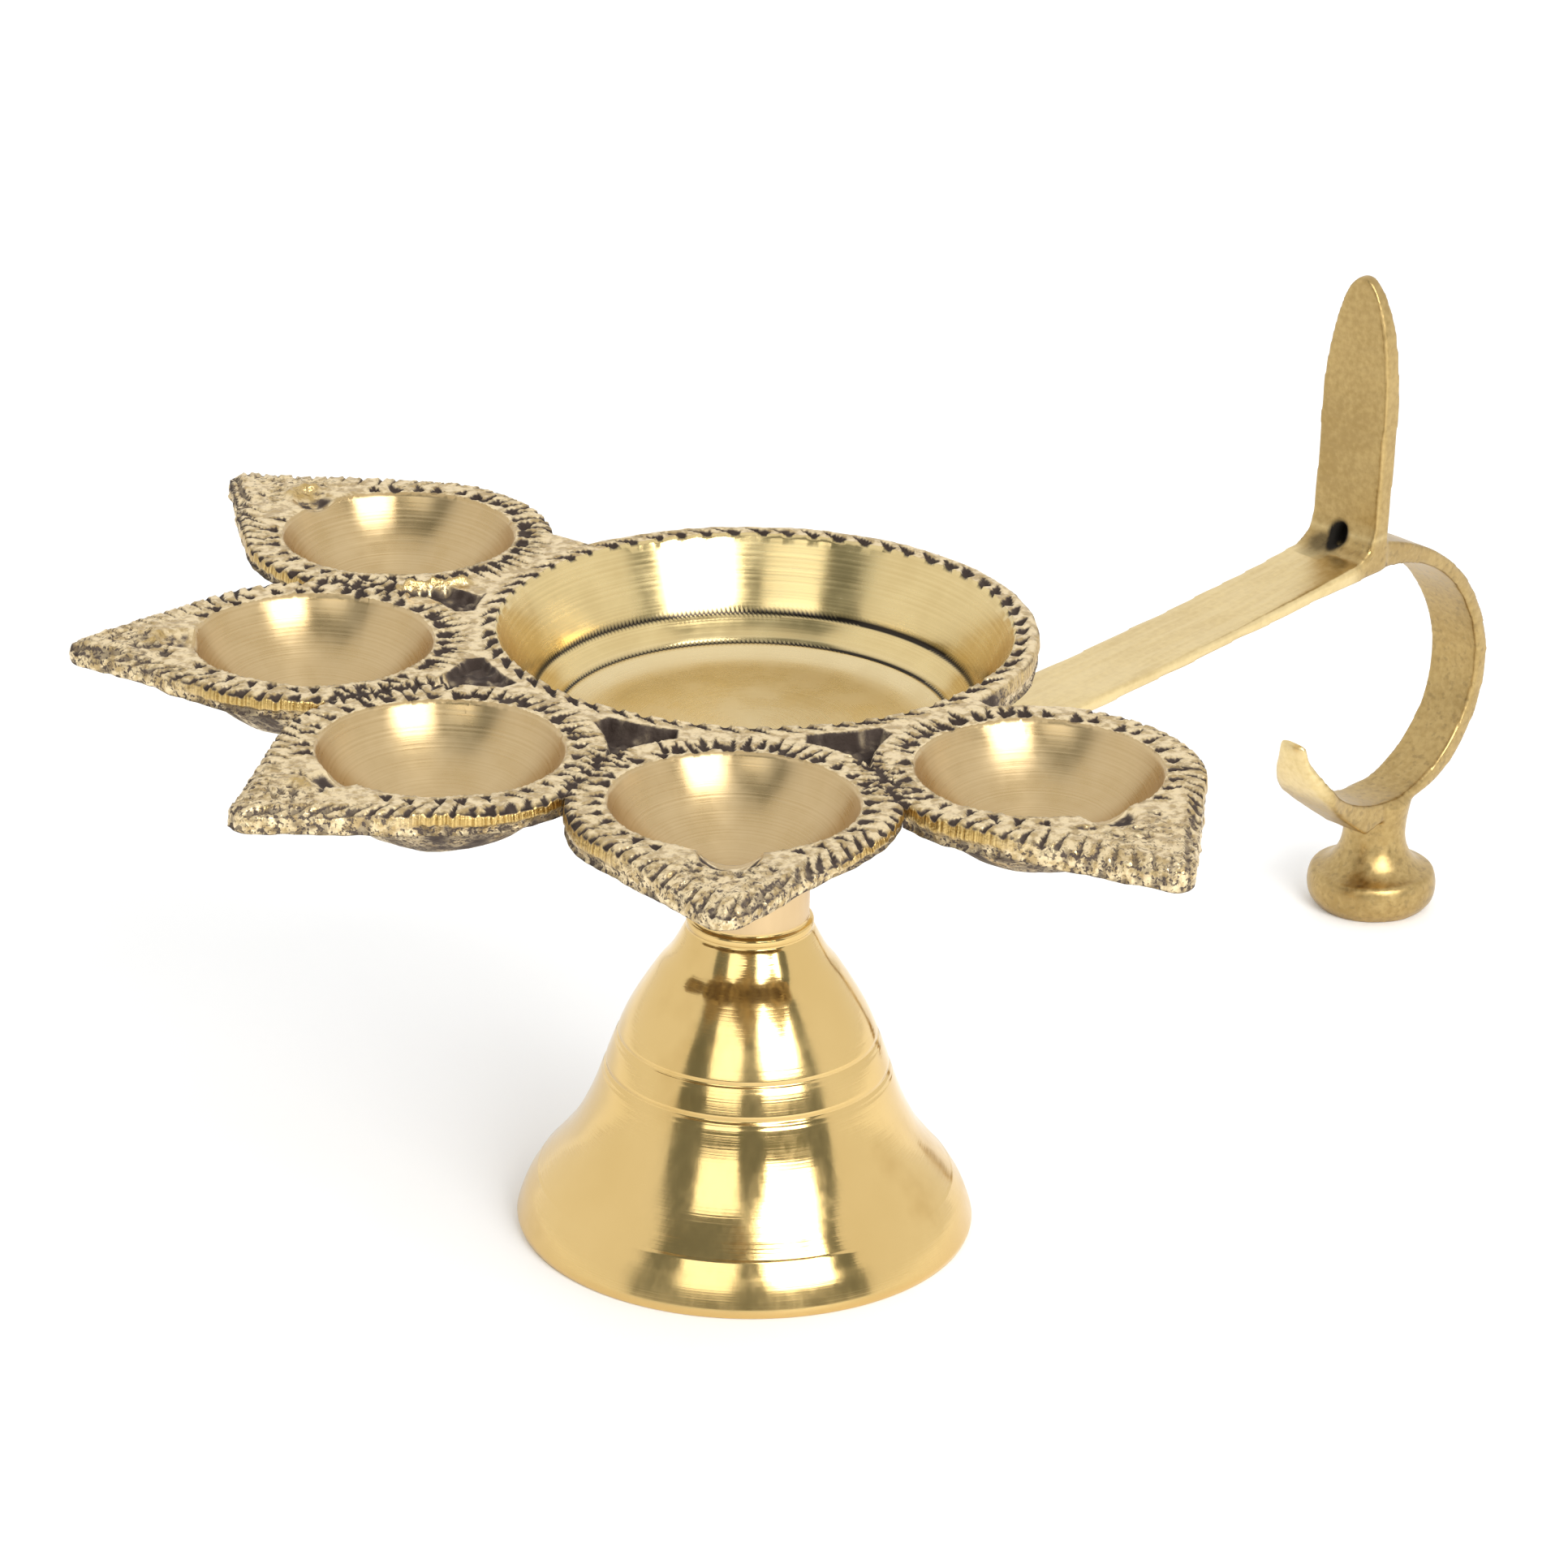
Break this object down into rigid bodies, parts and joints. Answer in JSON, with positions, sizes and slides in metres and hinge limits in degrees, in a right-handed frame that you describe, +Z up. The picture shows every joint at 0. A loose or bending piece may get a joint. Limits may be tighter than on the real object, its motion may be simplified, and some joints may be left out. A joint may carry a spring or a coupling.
{
  "type": "diya oil lamp",
  "caption": "Cast brass aarti oil lamp: oil bowl ringed by leaf-shaped wick cups, on a turned bell stand, with a clamped finger-ring handle.",
  "frame": {"origin": "centre of the stand's foot ring, on the table", "axes": "+Z up along the lamp's axis, +X towards the handle"},
  "size_m": [0.1845, 0.1315, 0.0762],
  "materials": {
    "tray_brass": "sand-cast, chisel-cut and darkened, with turned satin cups and bowl",
    "handle_brass": "filed and brushed satin",
    "stand_brass": "turned and mirror polished",
    "plated_steel": "zinc plated"
  },
  "bodies": {
    "lamp": {"stand": "stand_brass", "tray": "tray_brass"},
    "handle": {"handle": "handle_brass"},
    "washers": {"plain_washer": "plated_steel", "lock_washer": "plated_steel"},
    "screw": {"clamp_screw": "plated_steel"}
  },
  "joints": [
    {"name": "handle_swivel", "type": "hinge", "parent": "lamp", "child": "handle", "pos_m": [0, 0, 0.0423], "axis": [0, 0, 1], "continuous": true},
    {"name": "washer_drop", "type": "slide", "parent": "lamp", "child": "washers", "axis": [0, 0, -1], "range_m": [0, 0.0064]},
    {"name": "screw_turn", "type": "hinge", "parent": "washers", "child": "screw", "pos_m": [0, 0, 0.0243], "axis": [0, 0, -1], "range_deg": [0, 2880]}
  ],
  "couplings": [
    {"joint": "screw_turn", "follows": "washer_drop", "rad_per_m": 7854}
  ]
}
